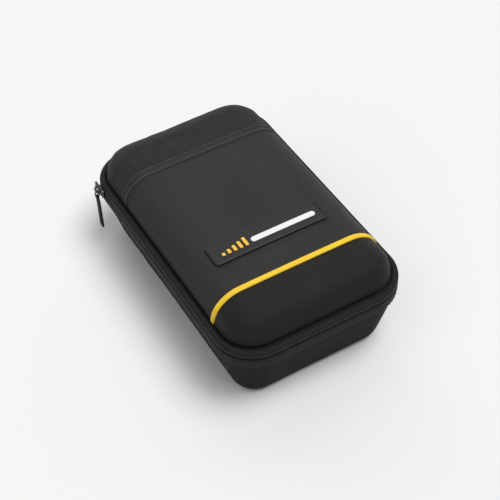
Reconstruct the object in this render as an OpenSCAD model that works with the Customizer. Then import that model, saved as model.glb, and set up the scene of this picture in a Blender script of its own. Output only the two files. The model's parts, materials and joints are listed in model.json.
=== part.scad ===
// Zipped hard-shell carrying case: moulded base, domed lid, reverse-coil zip, foam insert.
// Frame: origin at the middle of the resting face, +Y towards the hinge end, +Z up.
// A profile point is [inset, z]: how far it lies inside the case's plan outline, and its height.

/* [Case] */
// Length over the zip belt
case_l = 200; // [190:1:210]
// Width over the zip belt
case_w = 125; // [118:1:132]
// Height from the resting face to the top of the lid
case_h = 72; // [70:0.5:74]
// Plan corner radius at the zip belt
corner_r = 26.5; // [26:0.5:30]
// Thickness of the moulded foam walls
wall = 4; // [3:0.5:4.5]

/* [Lid] */
// Radius of the rounded shoulder all round the lid
shoulder_r = 19.4; // [18.5:0.1:20]
// How far the lid's lower edge sits inside the zip belt
lid_inset = 5.1; // [4.8:0.1:5.5]
// Thickness of the outer fabric panels
skin = 0.8; // [0.6:0.1:1]
// Distance of the piped stripe from the middle, towards the near end
stripe_y = 63.7; // [58:0.1:66]
// Width of the piped stripe
stripe_w = 3.3; // [2.5:0.1:4]
// Distance of the double seam from the middle, towards the hinge end
seam_y = 53; // [48:0.5:58]

/* [Badge] */
// Length of the badge across the lid
badge_l = 78; // [70:1:84]
// Width of the badge
badge_w = 17; // [15:0.5:19]
// Thickness of the badge
badge_t = 1.6; // [1.2:0.1:2]
// Distance of the badge's middle from the lid's middle, towards the near end
badge_y = 34.1; // [30:0.1:38]
// Distance of the badge's middle from the lid's middle, towards the left
badge_x = 2.3; // [0:0.1:4]

/* [Base] */
// Height of the base shell's rim
base_rim_z = 41.6; // [41:0.1:42]
// Lean of the base's side walls, in degrees
base_lean = 15.5; // [12:0.5:18]
// Radius along the base's bottom edge
base_r = 9.2; // [8.5:0.1:10]
// Height of the foam insert's top face
foam_top_z = 36; // [34:0.5:37]

/* [Zip] */
// Height of the zip line
zip_z = 47.5; // [47.3:0.1:47.7]
// Thickness of the zip tapes
tape_t = 0.7; // [0.5:0.1:0.8]
// Length of the slider
slider_l = 11; // [10:0.5:12]
// Distance of the slider's middle from the middle of the case, towards the hinge end
slider_y = 77.5; // [76:0.5:78]
// Length of the pull tab
tab_l = 28; // [20:1:32]

/* [Hidden] */
// Smoothness of round solids
$fn = 48;
// Straight steps in each plan corner
corner_steps = 8;
// Angle between points along the shoulder and bottom arcs
arc_step = 10;
// Clearance between neighbouring pieces of one body
gap = 0.1;
// Small overlap that makes a cut clean
cut = 1;

// Lid dome: centre of the shoulder arc and depth of each layer under the outer surface
dome_inset = lid_inset + shoulder_r;
dome_z = case_h - shoulder_r;
lid_core = skin + gap / 2;
lid_inner = lid_core + wall;
lining_t = 0.6;
lid_lined = lid_inner + gap + lining_t;

// Base: inset of the rim, centre of the bottom arc and depth of each layer
rim_inset = 0.9;
base_arc_inset = rim_inset + (base_r + (base_rim_z - base_r) * sin(base_lean)) / cos(base_lean);
base_lined = wall + gap + lining_t;
foam_off = base_lined + 2 * gap;

// Zip: half of the opening between the two sides, and heights of tapes and coils
zip_half_gap = 0.5;
lower_tape_z = 39.2;
// Height of the lower tape's bend over the base rim, and the tape's clearance from the wall
tape_bend = 0.3;
tape_off = 0.12;
coil_depth = 1.7;
coil_h = 2.4;
coil_inset = tape_t + 2 * gap;
tape_end = 30;
coil_end = 82.5;
stop_l = 2;
hinge_half_gap = 0.2;

// Plan corners as [side in x, side in y, first angle, last angle], counter-clockwise from above
ALL_ROUND = [[1, 1, 0, 90], [-1, 1, 90, 180], [-1, -1, 180, 270], [1, -1, 270, 360]];
function zip_run(end) =
    [[-1, 1, 90 + end, 180], [-1, -1, 180, 270], [1, -1, 270, 360], [1, 1, 0, 90 - end]];
function hinge_run(end) = [[1, 1, 90 - end, 90], [-1, 1, 90, 90 + end]];

// Point of the plan outline at one inset, corner and angle
function plan_point(inset, corner, a) =
    let (r = corner_r - inset)
    [corner[0] * (case_w / 2 - inset - r) + r * cos(a),
     corner[1] * (case_l / 2 - inset - r) + r * sin(a)];
function ring(p, corners) = [for (c = corners) for (i = [0:corner_steps])
    let (q = plan_point(p[0], c, c[2] + (c[3] - c[2]) * i / corner_steps)) [q[0], q[1], p[1]]];

function flat(list) = [for (part = list) each part];
function span(n) = [for (i = [0:n - 1]) i];
function flip(list) = [for (i = [len(list) - 1:-1:0]) list[i]];
// Faces that cap a profile whose second half runs back along its first; at is the column
function cap(m, n, at) = [for (k = [0:m / 2 - 2])
    [(m - 1 - k) * n + at, (m - 2 - k) * n + at, (k + 1) * n + at, k * n + at]];
function flip_each(faces) = [for (f = faces) flip(f)];
// Faces that join ring a to ring b, around or up to the last point
function side(a, b, n, closed) = [for (i = [0:n - (closed ? 1 : 2)])
    [a * n + i, b * n + i, b * n + (i + 1) % n, a * n + (i + 1) % n]];

// Solid through a list of rings, closed at both ends
module loft(rings) {
    n = len(rings[0]);
    last = len(rings) - 1;
    walls = [for (k = [0:last - 1]) each side(k, k + 1, n, true)];
    first_cap = span(n);
    last_cap = [for (i = flip(span(n))) last * n + i];
    polyhedron(points = flat(rings), faces = concat(walls, [first_cap, last_cap]), convexity = 6);
}

// Band with a closed profile that follows the plan outline; open runs are capped at their ends
module band(profile, corners) {
    closed = len(corners) == len(ALL_ROUND);
    closed_run = closed && corners[0] == ALL_ROUND[0];
    rings = [for (p = profile) ring(p, corners)];
    n = len(rings[0]);
    m = len(profile);
    walls = [for (k = [0:m - 1]) each side(k, (k + 1) % m, n, closed_run)];
    caps = closed_run ? [] : concat(cap(m, n, 0), flip_each(cap(m, n, n - 1)));
    polyhedron(points = flat(rings), faces = concat(walls, caps), convexity = 6);
}

// Profiles
function dome_point(off, a) =
    [dome_inset - (shoulder_r - off) * cos(a), dome_z + (shoulder_r - off) * sin(a)];
function dome_profile(off) = [for (a = [0:arc_step:90]) dome_point(off, a)];
function wall_inset(off, z) = rim_inset + (base_rim_z - z) * tan(base_lean) + off / cos(base_lean);
function base_profile(off, top_z) = concat(
    [for (i = [0:6]) let (a = 90 - (90 - base_lean) * i / 6)
        [base_arc_inset - (base_r - off) * cos(a), base_r - (base_r - off) * sin(a)]],
    [[wall_inset(off, top_z), top_z]]);
function rings_of(profile) = [for (p = profile) ring(p, ALL_ROUND)];
function lower_tape_profile(top_z, t) =
    let (foot = wall_inset(-tape_off, lower_tape_z) - t, bend_z = base_rim_z + tape_bend)
    [[foot, lower_tape_z], [0, bend_z], [0, top_z], [t, top_z], [t, bend_z], [foot + t, lower_tape_z]];
function upper_tape_profile(low_z, t) =
    let (shelf_z = dome_z - 1.5 * gap)
    [[0, low_z], [0, zip_z + 2.9], [0.5, zip_z + 4], [1.8, shelf_z - 0.25], [4, shelf_z], [8, shelf_z],
     [8, shelf_z - t], [4.1, shelf_z - t], [2.3, zip_z + 4], [t + 0.5, zip_z + 3.4],
     [t, zip_z + 2.7], [t, low_z]];
function coil_profile(low_z) =
    let (c = 0.5, i0 = coil_inset, i1 = coil_inset + coil_depth, z1 = low_z + coil_h)
    [[i0, low_z + c], [i0, z1 - c], [i0 + c, z1], [i1 - c, z1],
     [i1, z1 - c], [i1, low_z + c], [i1 - c, low_z], [i0 + c, low_z]];

// Plan shape with rounded corners
module plan_2d(inset) {
    r = corner_r - inset;
    x = case_w / 2 - inset;
    y = case_l / 2 - inset;
    square([2 * (x - r), 2 * y], center = true);
    square([2 * x, 2 * (y - r)], center = true);
    for (sx = [-1, 1], sy = [-1, 1]) translate([sx * (x - r), sy * (y - r)]) circle(r);
}
module rounded_2d(w, l, r) {
    square([w - 2 * r, l], center = true);
    square([w, l - 2 * r], center = true);
    for (sx = [-1, 1], sy = [-1, 1]) translate([sx * (w / 2 - r), sy * (l / 2 - r)]) circle(r);
}

// Lid cross-section: points over the dome at one depth, right edge to left edge, as [x, z]
function over_points(off) =
    let (cx = case_w / 2 - dome_inset, r = shoulder_r - off)
    concat([for (a = [0:arc_step:90]) [cx + r * cos(a), dome_z + r * sin(a)]],
           [for (a = [90:arc_step:180]) [-cx + r * cos(a), dome_z + r * sin(a)]]);
// Strip that runs over the lid from edge to edge: w wide, between two depths, with eased edges
module over_strip(y, w, low, high) {
    ease = min(w / 4, (low - high) / 2);
    loop = [[-w / 2, low], [-w / 2, high + ease], [-w / 2 + ease, high],
            [w / 2 - ease, high], [w / 2, high + ease], [w / 2, low]];
    n = len(over_points(0));
    m = len(loop);
    rings = [for (s = loop) [for (p = over_points(s[1])) [p[0], y + s[0], p[1]]]];
    walls = [for (k = [0:m - 1]) each side(k, (k + 1) % m, n, false)];
    caps = concat(cap(m, n, 0), flip_each(cap(m, n, n - 1)));
    polyhedron(points = flat(rings), faces = concat(walls, caps), convexity = 6);
}
// Fabric over one end of the lid, from y_cut to the end
module end_panel(y_cut) {
    function open_ring(p) = concat([[case_w / 2 - p[0], y_cut, p[1]]],
        ring(p, [ALL_ROUND[0], ALL_ROUND[1]]), [[-case_w / 2 + p[0], y_cut, p[1]]]);
    outer = [for (p = dome_profile(0)) open_ring(p)];
    inner = [for (p = dome_profile(skin)) open_ring(p)];
    rings = concat(flip(inner), outer);
    n = len(rings[0]);
    m = len(rings);
    last = (m - 1) * n;
    walls = [for (k = [0:m - 2]) each side(k, k + 1, n, false)];
    under_cap = span(n);
    top_cap = [for (i = flip(span(n))) last + i];
    cut_sides = concat(cap(m, n, 0), flip_each(cap(m, n, n - 1)));
    cut_top = [0, n - 1, last + n - 1, last];
    faces = concat(walls, [under_cap, top_cap, cut_top], cut_sides);
    polyhedron(points = flat(rings), faces = faces, convexity = 6);
}

// Base body
module base_shell() {
    color("#2e2c29")
        loft(rings_of(concat(base_profile(0, base_rim_z), flip(base_profile(wall, base_rim_z)))));
}
module base_lining() {
    outer = base_profile(wall + gap, base_rim_z);
    inner = base_profile(base_lined, base_rim_z);
    color("#3a3a3c") loft(rings_of(concat(outer, flip(inner))));
}
module base_rim_binding() {
    leg_z = base_rim_z - 3;
    leg = base_lined + gap;
    leg_t = 0.6;
    low = base_rim_z + gap;
    high = base_rim_z + leg_t + gap;
    profile = [[rim_inset + gap, low], [rim_inset + gap, high],
               [wall_inset(leg + leg_t, base_rim_z), high], [wall_inset(leg + leg_t, leg_z), leg_z],
               [wall_inset(leg, leg_z), leg_z], [wall_inset(leg, low), low]];
    color("#1c1c1c") band(profile, ALL_ROUND);
}
// Wells of the foam insert as [centre x, centre y, width, length]
PHONE_WELL = [-14, 0, 58, 150];
SIDE_WELLS = [[32, 40, 22, 70], [32, -40, 22, 70]];
well_floor_z = 9;
well_r = 6;
module foam_insert() {
    color("#343436") difference() {
        loft(rings_of(base_profile(foam_off, foam_top_z)));
        for (w = concat([PHONE_WELL], SIDE_WELLS))
            translate([w[0], w[1], well_floor_z])
                linear_extrude(foam_top_z) rounded_2d(w[2], w[3], well_r);
    }
}
module elastic_strap() {
    strap_w = 25;
    strap_t = 1;
    strap_over = 10;
    color("#202022") translate([PHONE_WELL[0], 0, foam_top_z + gap])
        linear_extrude(strap_t) square([PHONE_WELL[2] + 2 * strap_over, strap_w], center = true);
}
module zip_tape_lower() {
    color("#242322") band(lower_tape_profile(zip_z - zip_half_gap, tape_t), zip_run(tape_end));
}
module zip_coil_lower() {
    color("#161616") band(coil_profile(zip_z - zip_half_gap - coil_h), zip_run(coil_end));
}
// Crimp at each end of the coil, in line with the tape there
module zip_stops(low_z) {
    for (s = [-1, 1]) {
        a = 90 - s * (coil_end - 1);
        q = plan_point(coil_inset + coil_depth / 2, [s, 1], a);
        translate([q[0], q[1], low_z]) rotate(a)
            translate([-coil_depth / 2, (s - 1) * stop_l / 2, 0]) cube([coil_depth, stop_l, coil_h]);
    }
}
module zip_stops_lower() {
    color("#8c8d8f") zip_stops(zip_z - zip_half_gap - coil_h);
}
module hinge_strip_base() {
    color("#242322")
        band(lower_tape_profile(zip_z - hinge_half_gap, tape_t), hinge_run(tape_end - 0.5));
}

// Lid body
module lid_shell() {
    color("#272725") loft(rings_of(concat(flip(dome_profile(lid_inner)), dome_profile(lid_core))));
}
module lid_lining() {
    color("#3a3a3c")
        loft(rings_of(concat(flip(dome_profile(lid_lined)), dome_profile(lid_inner + gap))));
}
// Inset of the lid lining's inner face near the rim
lining_inset = lid_inset + lid_lined;
binding_t = 0.5;
module lid_rim_binding() {
    low = dome_z - 0.7;
    shelf = dome_z - 1.5 * gap;
    leg_z = dome_z + 2.9;
    leg = lining_inset + 1.5 * gap;
    lean = 0.35;
    profile = [[8.15, low], [8.15, shelf], [leg, shelf], [leg + lean, leg_z],
               [leg + lean + binding_t, leg_z], [leg + binding_t, low]];
    color("#1c1c1c") band(profile, ALL_ROUND);
}
pocket_inset = lining_inset + 1.4;
pocket_z = dome_z + 1.2;
pocket_edge_y = -25;
module mesh_pocket() {
    mesh_t = 0.8;
    color("#2b2b2d") translate([0, 0, pocket_z]) linear_extrude(mesh_t) intersection() {
        plan_2d(pocket_inset);
        translate([-case_w / 2, pocket_edge_y]) square([case_w, case_l]);
    }
}
module pocket_hem() {
    hem_w = 7;
    hem_t = 2;
    color("#161617")
        translate([pocket_inset - case_w / 2, pocket_edge_y - hem_w - gap, pocket_z - 0.4])
            cube([case_w - 2 * pocket_inset, hem_w, hem_t]);
}
// Half of the width that the double seam takes, with its clearances
seam_half = 3.2;
ridge_w = 1.6;
ridge_rise = 0.5;
module far_panel() {
    color("#302f2e") end_panel(seam_y + seam_half);
}
module centre_panel() {
    y0 = -stripe_y + stripe_w / 2 + gap;
    y1 = seam_y - seam_half;
    color("#41403e") translate([0, y1, 0]) rotate([90, 0, 0])
        linear_extrude(y1 - y0) polygon(concat(over_points(0), flip(over_points(skin))));
}
module near_panel() {
    color("#262523") mirror([0, 1, 0]) end_panel(stripe_y + stripe_w / 2 + gap);
}
module seam_tape() {
    color("#3b3a38") over_strip(seam_y, 2 * (seam_half - ridge_w - 2 * gap), skin, 0.1);
}
module seam_ridge(y) {
    over_strip(y, ridge_w, skin, -ridge_rise);
}
module seam_ridge_far() {
    color("#474644") seam_ridge(seam_y + seam_half - ridge_w / 2 - gap);
}
module seam_ridge_near() {
    color("#4d4c4a") seam_ridge(seam_y - seam_half + ridge_w / 2 + gap);
}
module yellow_piping() {
    piping_rise = 0.9;
    color("#f0b323") over_strip(-stripe_y, stripe_w, skin, -piping_rise);
}
badge_r = 2.5;
badge_rim = 1.1;
badge_sink = 0.5;
module badge_plate() {
    color("#1a1a1a") translate([-badge_x, -badge_y, case_h + gap / 2]) difference() {
        linear_extrude(badge_t) rounded_2d(badge_l, badge_w, badge_r);
        translate([0, 0, badge_t - badge_sink]) linear_extrude(cut)
            rounded_2d(badge_l - 2 * badge_rim, badge_w - 2 * badge_rim, badge_r - badge_rim);
    }
}
// Height of the marks' underside, inside the badge's sunk face
mark_z = case_h + gap / 2 + badge_t - badge_sink + gap / 2;
mark_t = 0.6;
module badge_bars() {
    count = 5;
    bar_w = 2.2;
    pitch = 4;
    first_h = 2.4;
    growth = 1.2;
    margin = 8;
    drop = 3.6;
    foot_y = -badge_y - drop;
    first_x = -badge_x - badge_l / 2 + margin;
    color("#f2c230") for (i = [0:count - 1]) {
        h = first_h + i * growth;
        translate([first_x + i * pitch, foot_y + h / 2, mark_z])
            linear_extrude(mark_t) rounded_2d(bar_w, h, bar_w / 3);
    }
}
module badge_name_bar() {
    bar_l = 45;
    bar_w = 4;
    bar_x = 8.8;
    drop = 1.1;
    color("#e9e9e6") translate([bar_x, -badge_y - drop, mark_z])
        linear_extrude(mark_t) rounded_2d(bar_l, bar_w, bar_w / 2 - gap);
}
module zip_tape_upper() {
    color("#242322") band(upper_tape_profile(zip_z + zip_half_gap, tape_t), zip_run(tape_end));
}
module zip_coil_upper() {
    color("#161616") band(coil_profile(zip_z + zip_half_gap), zip_run(coil_end));
}
module zip_stops_upper() {
    color("#8c8d8f") zip_stops(zip_z + zip_half_gap);
}
module hinge_strip_lid() {
    color("#242322")
        band(upper_tape_profile(zip_z + hinge_half_gap, tape_t), hinge_run(tape_end - 0.5));
}

// Slider: plates lie in front of and behind the tapes, on the left long side
plate_out = 1.5;
plate_in = 0.4;
plate_half = 4.2;
back_in = 3.3;
back_t = 0.9;
nose_l = 2.5;
slider_x = -case_w / 2;
// How much further the front plate and its bridge reach towards the hinge end
front_more = 2;
// Outline of a plate in the plane of the zip, blunt at the nose and narrower at the tail
module plate_2d(length, half, low) {
    h = length / 2;
    polygon([[h, -low * 0.6], [h, half * 0.6], [h - 2, half], [0, half * 0.86], [1.5 - h, half * 0.74],
             [-h, half * 0.5], [-h, -low * 0.5], [1.5 - h, -low * 0.74], [0, -low * 0.86], [h - 2, -low]]);
}
// Puts a shape drawn as [along y, along z] upright, from x0 with thickness t towards the inside
module upright(x0, t) {
    translate([x0, slider_y, zip_z]) rotate([90, 0, 90]) linear_extrude(t) children();
}
module slider_body() {
    back_half = 3.3;
    flange_low = 4.2;
    flange_in = 1.9;
    flange_t = 0.8;
    web_half = 0.3;
    color("#4a4b4d") {
        upright(slider_x - plate_out, plate_out - plate_in) translate([front_more / 2, 0])
            plate_2d(slider_l + front_more, plate_half, plate_half);
        upright(slider_x + back_in, back_t) plate_2d(slider_l, back_half, flange_low);
        translate([slider_x - plate_out, slider_y + slider_l / 2 - nose_l, zip_z - web_half])
            cube([plate_out + back_in + back_t, nose_l, 2 * web_half]);
        translate([slider_x + flange_in, slider_y - slider_l / 4, zip_z - flange_low])
            cube([back_in + gap - flange_in, slider_l / 2, flange_t]);
    }
}
bail_r = 1.9;
bail_half = 3.8;
bail_wire = 0.65;
bail_x = slider_x - plate_out;
pull_x = bail_x - bail_r;
// Low bridge: a straight wire with a rounded foot at each end, just off the front plate
module slider_bridge() {
    foot = 0.1;
    straight = bail_half - bail_r;
    color("#565759") translate([bail_x - foot, slider_y + front_more / 2, zip_z]) {
        translate([foot - bail_r, 0, 0]) rotate([90, 0, 0])
            cylinder(r = bail_wire, h = 2 * straight, center = true);
        for (m = [0, 1]) mirror([0, m, 0]) translate([0, straight, 0]) rotate([0, 0, 90])
            rotate_extrude(angle = 90) translate([bail_r - foot, 0]) circle(bail_wire);
    }
}
link_wire = 0.45;
link_half = 1.27;
link_drop = 4.5;
// Oval ring of wire round the bridge
module pull_link() {
    color("#565759") translate([pull_x, slider_y, zip_z]) {
        for (s = [-1, 1]) translate([s * link_half, 0, link_half - link_drop])
            cylinder(r = link_wire, h = link_drop - link_half);
        rotate([90, 0, 0])
            rotate_extrude(angle = 180) translate([link_half, 0]) circle(link_wire);
        translate([0, 0, link_half - link_drop]) rotate([-90, 0, 0])
            rotate_extrude(angle = 180) translate([link_half, 0]) circle(link_wire);
    }
}
tab_t = 1.2;
tab_w = 5;
module pull_tab() {
    eye_r = link_wire + 0.35;
    eye_w = 1.9;
    tip_y = 3 - tab_l;
    pivot_z = zip_z - link_drop;
    color("#0f0f0f") translate([pull_x, slider_y, pivot_z]) rotate([90, 0, 90]) difference() {
        translate([0, 0, -tab_t / 2]) linear_extrude(tab_t) {
            circle(eye_w);
            translate([-tab_w / 2, tip_y]) square([tab_w, -tip_y - eye_w]);
            translate([-eye_w, -eye_w - 1]) square([2 * eye_w, eye_w + 1]);
            translate([0, tip_y]) circle(tab_w / 2);
        }
        cylinder(r = eye_r, h = 2 * tab_t, center = true);
    }
}

base_shell();
base_lining();
base_rim_binding();
foam_insert();
elastic_strap();
zip_tape_lower();
zip_coil_lower();
zip_stops_lower();
hinge_strip_base();
lid_shell();
lid_lining();
lid_rim_binding();
mesh_pocket();
pocket_hem();
far_panel();
centre_panel();
near_panel();
seam_tape();
seam_ridge_far();
seam_ridge_near();
yellow_piping();
badge_plate();
badge_bars();
badge_name_bar();
zip_tape_upper();
zip_coil_upper();
zip_stops_upper();
hinge_strip_lid();
slider_body();
slider_bridge();
pull_link();
pull_tab();
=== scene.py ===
"""Zipped hard-shell carrying case: its looks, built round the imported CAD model. Metres, Z up."""
from math import asin, atan2, ceil, copysign, cos, exp, hypot, pi, radians, sin, sqrt, tan

import bmesh
import bpy
import numpy as np
from mathutils import Matrix, Vector, noise
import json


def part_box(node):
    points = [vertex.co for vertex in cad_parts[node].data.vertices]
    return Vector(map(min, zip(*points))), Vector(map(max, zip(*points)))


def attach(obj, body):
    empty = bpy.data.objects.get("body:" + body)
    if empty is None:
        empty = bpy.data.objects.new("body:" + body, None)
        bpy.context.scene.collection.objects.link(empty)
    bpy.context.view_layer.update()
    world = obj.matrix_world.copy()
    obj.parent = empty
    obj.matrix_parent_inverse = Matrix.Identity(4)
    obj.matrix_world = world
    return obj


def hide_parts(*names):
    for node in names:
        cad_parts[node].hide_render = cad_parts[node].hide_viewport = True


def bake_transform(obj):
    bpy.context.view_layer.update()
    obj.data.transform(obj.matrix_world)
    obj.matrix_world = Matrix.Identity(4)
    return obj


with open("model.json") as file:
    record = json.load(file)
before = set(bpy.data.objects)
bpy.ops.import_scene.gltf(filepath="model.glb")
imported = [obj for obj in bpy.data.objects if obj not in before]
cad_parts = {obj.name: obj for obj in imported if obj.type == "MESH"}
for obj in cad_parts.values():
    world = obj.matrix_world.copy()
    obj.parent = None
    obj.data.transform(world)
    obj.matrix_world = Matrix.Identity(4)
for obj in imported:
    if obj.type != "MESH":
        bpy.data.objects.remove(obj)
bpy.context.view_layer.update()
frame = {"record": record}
MM = 0.001


# -------- sizes, most from the CAD nodes
def box_middle(node):
    return [(a + b) / 2 for a, b in zip(*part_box(node))]


def box_size(node):
    return [b - a for a, b in zip(*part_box(node))]


PANEL_LOW, PANEL_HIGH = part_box("centre_panel")
TAPE_LOW, TAPE_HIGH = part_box("zip_tape_lower")
BASE_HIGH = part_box("base_shell")[1]
HALF_W = TAPE_HIGH.x
HALF_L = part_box("hinge_strip_base")[1].y
FOOT_Z = TAPE_LOW.z
ZIP_Z = (TAPE_HIGH.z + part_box("zip_tape_upper")[0].z) / 2
LID_TOP = PANEL_HIGH.z
LID_EDGE = PANEL_LOW.z
LID_INSET = HALF_W - PANEL_HIGH.x
SHOULDER = LID_TOP - LID_EDGE
DOME_INSET = LID_INSET + SHOULDER
BASE_RIM = BASE_HIGH.z
RIM_INSET = HALF_W - BASE_HIGH.x
FOAM_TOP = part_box("foam_insert")[1].z
STRIPE_Y = box_middle("yellow_piping")[1]
SEAM_Y = box_middle("seam_tape")[1]
BADGE_TALL = box_size("badge_plate")[2]
BADGE_FACE = BADGE_TALL - 0.5 * MM
LINK_WIRE = 0.45 * MM
PULL_X, PULL_Y, _ = box_middle("pull_link")
TAB_PIVOT_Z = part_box("pull_link")[0].z + LINK_WIRE
CORNER_R = 26.5 * MM
HINGE_TURN = 30  # degrees of each far corner that the hinge takes up
COIL_TURN = 82.5  # degrees of each far corner that the coils leave free
WALL = 4 * MM
CORE = 0.85 * MM  # depth of the lid's foam shell under its fabric
CROWN = 1.0 * MM  # rise of the lid's top in its middle
BASE_R = 9.2 * MM
BASE_LEAN = radians(15.5)
BASE_ARC_INSET = RIM_INSET + (BASE_R + (BASE_RIM - BASE_R) * sin(BASE_LEAN)) / cos(BASE_LEAN)
INNERMOST = HALF_W - 1.6 * MM  # inset of the smallest ring of a shell
POCKET_CORNER = 14.5 * MM
POCKET_BORDER = 3.5 * MM
WELLS = ((-14, 0, 58, 150), (32, 40, 22, 70), (32, -40, 22, 70))  # middle, width, length in mm
STEP = 1.6 * MM
SEED = Vector((11.3, 4.7, 8.1))
UP = Vector((0, 0, 1))

# -------- camera, light and floor
# Lamps and soft patches of the sky, each as azimuth from +X, elevation and strength
LAMPS = ((330, 68, 1.43), (285, 68, 1.17))
SKY = ((90, 15, 2.3), (180, 50, 1.5), (30, 15, 1.1), (210, 15, 0.8), (60, 50, 1.0))
LAMP_SPREAD = 34
SKY_FOCUS = 14.0


def direction(azimuth, elevation):
    a, e = radians(azimuth), radians(elevation)
    return Vector((cos(e) * cos(a), cos(e) * sin(a), sin(e)))


def add_object(name, data):
    obj = bpy.data.objects.new(name, data)
    bpy.context.scene.collection.objects.link(obj)
    return obj


def make_camera():
    distance = 0.792
    target = Vector((0, 0, 0.025))
    roll = radians(2.7)
    back = direction(-118.2, 46.8)
    right = UP.cross(back).normalized()
    up = back.cross(right)
    side = right * cos(roll) - up * sin(roll)
    top = right * sin(roll) + up * cos(roll)
    data = bpy.data.cameras.new("camera")
    data.sensor_width = 36
    data.lens = 87.8
    data.shift_x = 0.012
    data.clip_start = 0.01
    camera = add_object("camera", data)
    turn = Matrix((side, top, back)).transposed().to_4x4()
    camera.matrix_world = Matrix.Translation(target + back * distance) @ turn
    bpy.context.scene.camera = camera


def make_lamp(azimuth, elevation, strength):
    """Far lamp behind a wide diffuser, so its shadows have soft edges."""
    data = bpy.data.lights.new("lamp", "SUN")
    data.angle = radians(LAMP_SPREAD)
    data.energy = strength
    lamp = add_object("lamp", data)
    lamp.location = direction(azimuth, elevation)
    lamp.rotation_euler = lamp.location.to_track_quat("Z", "Y").to_euler()


def make_sky():
    """White sky that shines from a few soft round patches only."""
    world = bpy.data.worlds.new("studio")
    n = Nodes(world, "Background", "Generated")
    total = 0.0
    for azimuth, elevation, strength in SKY:
        sockets = {0: n.place, 1: direction(azimuth, elevation)}
        facing = n.add("ShaderNodeVectorMath", sockets, operation="DOT_PRODUCT").outputs["Value"]
        glow = n.math("POWER", n.math("MAXIMUM", facing, 0.0), SKY_FOCUS)
        total = n.math("MULTIPLY_ADD", glow, strength, total)
    return n.finish(Color=(1, 1, 1, 1), Strength=total)


def make_studio():
    scene = bpy.context.scene
    scene.view_settings.view_transform = "Standard"
    scene.world = make_sky()
    for lamp in LAMPS:
        make_lamp(*lamp)
    bpy.ops.mesh.primitive_plane_add(size=8, location=(0, 0, 0))
    floor = bpy.context.object
    floor.name = "floor"
    floor.data.materials.append(plain_floor())


# -------- materials
class Nodes:
    """Short way to add and join the nodes of one material or world."""

    def __init__(self, owner, shader="Principled BSDF", place="Object"):
        self.owner = owner
        owner.use_nodes = True
        self.tree = owner.node_tree
        self.shader = self.tree.nodes[shader]
        self.place = self.add("ShaderNodeTexCoord").outputs[place]

    def add(self, kind, inputs=None, **props):
        node = self.tree.nodes.new(kind)
        for key, value in props.items():
            setattr(node, key, value)
        for key, value in (inputs or {}).items():
            self.put(node.inputs[key], value)
        return node

    def put(self, socket, value):
        if isinstance(value, bpy.types.NodeSocket):
            self.tree.links.new(value, socket)
        else:
            socket.default_value = value

    def math(self, operation, *values):
        return self.add("ShaderNodeMath", dict(enumerate(values)), operation=operation).outputs[0]

    def noise(self, size, detail=3.0, rough=0.55):
        sockets = {"Vector": self.place, "Scale": 1 / size, "Detail": detail, "Roughness": rough}
        return self.add("ShaderNodeTexNoise", sockets).outputs["Fac"]

    def bands(self, axis, pitch, distortion=0.0):
        sockets = {"Vector": self.place, "Scale": pi / 10 / pitch, "Distortion": distortion}
        return self.add("ShaderNodeTexWave", sockets, bands_direction=axis).outputs["Fac"]

    def weave(self, pitch):
        x, y, z = (self.bands(axis, pitch) for axis in "XYZ")
        flat = self.math("MULTIPLY", x, y)
        front = self.math("MULTIPLY", x, z)
        side = self.math("MULTIPLY", y, z)
        return self.math("ADD", self.math("ADD", flat, front), side)

    def mix(self, factor, a, b):
        node = self.add("ShaderNodeMix", {"Factor": factor}, data_type="RGBA")
        self.put(node.inputs["A"], a)
        self.put(node.inputs["B"], b)
        return node.outputs["Result"]

    def ramp(self, value, low, high, low_out=0.0, high_out=1.0):
        sockets = {"Value": value, "From Min": low, "From Max": high,
                   "To Min": low_out, "To Max": high_out}
        return self.add("ShaderNodeMapRange", sockets).outputs["Result"]

    def bump(self, height, distance, under=None, strength=1.0):
        sockets = {"Height": height, "Distance": distance, "Strength": strength}
        if under is not None:
            sockets["Normal"] = under
        return self.add("ShaderNodeBump", sockets).outputs["Normal"]

    def finish(self, **sockets):
        for key, value in sockets.items():
            self.put(self.shader.inputs[key.replace("_", " ")], value)
        return self.owner


def new_material(name):
    return Nodes(bpy.data.materials.new(name))


def tone(color, k):
    return (min(color[0] * k, 1), min(color[1] * k, 1), min(color[2] * k, 1), 1.0)


def fabric(n, color, pitch, depth, rough=0.75, sheen=0.04, level=0.2, vary=0.18,
           folds=0.0, fold_size=9 * MM):
    """Woven or coated cloth: thread bumps, soft folds, uneven tone and sheen."""
    thread = n.weave(pitch)
    cloud = n.noise(18 * MM)
    fine = n.noise(1.3 * MM, 2.0, 0.7)
    shade = n.mix(n.ramp(cloud, 0.3, 0.7), tone(color, 1 - vary), tone(color, 1 + vary))
    shade = n.mix(n.ramp(thread, 0.2, 2.0, 0.0, 0.45), shade, tone(color, 1.7))
    shade = n.mix(n.ramp(fine, 0.62, 0.9, 0.0, 0.25), shade, tone(color, 2.2))
    normal = n.bump(n.noise(fold_size, 2.0), folds) if folds else None
    normal = n.bump(thread, depth, normal)
    rough_map = n.ramp(cloud, 0.25, 0.75, rough - 0.07, rough + 0.07)
    return n.finish(Base_Color=shade, Roughness=rough_map, Normal=normal, Sheen_Weight=sheen,
                    Sheen_Roughness=0.45, Specular_IOR_Level=level)


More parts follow.
